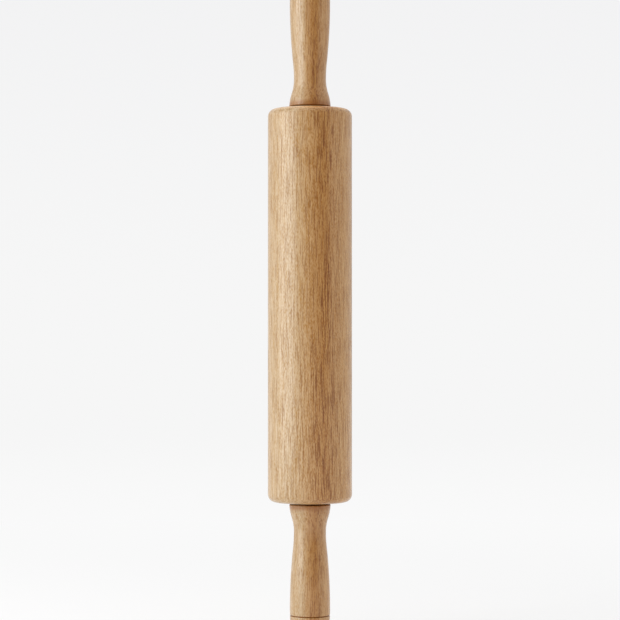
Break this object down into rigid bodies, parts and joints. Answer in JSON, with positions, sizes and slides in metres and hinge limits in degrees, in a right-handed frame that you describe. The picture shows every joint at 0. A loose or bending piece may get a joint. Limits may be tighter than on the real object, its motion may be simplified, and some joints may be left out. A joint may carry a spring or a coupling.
{
  "type": "rolling pin",
  "caption": "Wooden rolling pin: a plain barrel that turns on ball bearings between two turned handles joined by a steel axle.",
  "frame": {"origin": "centre of the lower end cap's flat end face, on which the pin stands upright", "axes": "+Z along the pin's axis from the lower handle to the upper handle; the pin is round about Z, and +Y points away from the viewer"},
  "size_m": [0.0544, 0.0544, 0.432],
  "materials": {
    "barrel_wood": "sanded smooth and oiled, satin",
    "handle_wood": "turned smooth and oiled, satin",
    "axle_steel": "drawn rod",
    "zinc_steel": "bright zinc plated",
    "bearing_steel": "ground and polished",
    "spring_steel": "dark phosphated",
    "nylon": "moulded, natural white",
    "dark_nylon": "moulded, dark brown"
  },
  "bodies": {
    "handles": {"axle": "axle_steel", "upper_handle": "handle_wood", "upper_end_cap": "handle_wood", "upper_nut": "zinc_steel", "upper_nut_washer": "zinc_steel", "upper_spacer": "dark_nylon", "upper_inner_race": "bearing_steel", "upper_retaining_ring": "spring_steel", "lower_handle": "handle_wood", "lower_end_cap": "handle_wood", "lower_nut": "zinc_steel", "lower_nut_washer": "zinc_steel", "lower_spacer": "dark_nylon", "lower_inner_race": "bearing_steel", "lower_retaining_ring": "spring_steel"},
    "barrel": {"barrel": "barrel_wood", "upper_bearing_cup": "dark_nylon", "upper_outer_race": "bearing_steel", "upper_outer_shield": "bearing_steel", "upper_inner_shield": "bearing_steel", "lower_bearing_cup": "dark_nylon", "lower_outer_race": "bearing_steel", "lower_outer_shield": "bearing_steel", "lower_inner_shield": "bearing_steel"},
    "upper_cage": {"upper_ball_cage": "nylon", "upper_balls": "bearing_steel"},
    "lower_cage": {"lower_ball_cage": "nylon", "lower_balls": "bearing_steel"}
  },
  "joints": [
    {"name": "barrel_spin", "type": "hinge", "parent": "handles", "child": "barrel", "pos_m": [0, 0, 0.216], "axis": [0, 0, 1], "continuous": true},
    {"name": "upper_cage_spin", "type": "hinge", "parent": "handles", "child": "upper_cage", "pos_m": [0, 0, 0.338], "axis": [0, 0, 1], "continuous": true},
    {"name": "lower_cage_spin", "type": "hinge", "parent": "handles", "child": "lower_cage", "pos_m": [0, 0, 0.094], "axis": [0, 0, 1], "continuous": true}
  ],
  "couplings": [
    {"joint": "upper_cage_spin", "follows": "barrel_spin", "ratio": 0.63233},
    {"joint": "lower_cage_spin", "follows": "barrel_spin", "ratio": 0.63233}
  ]
}
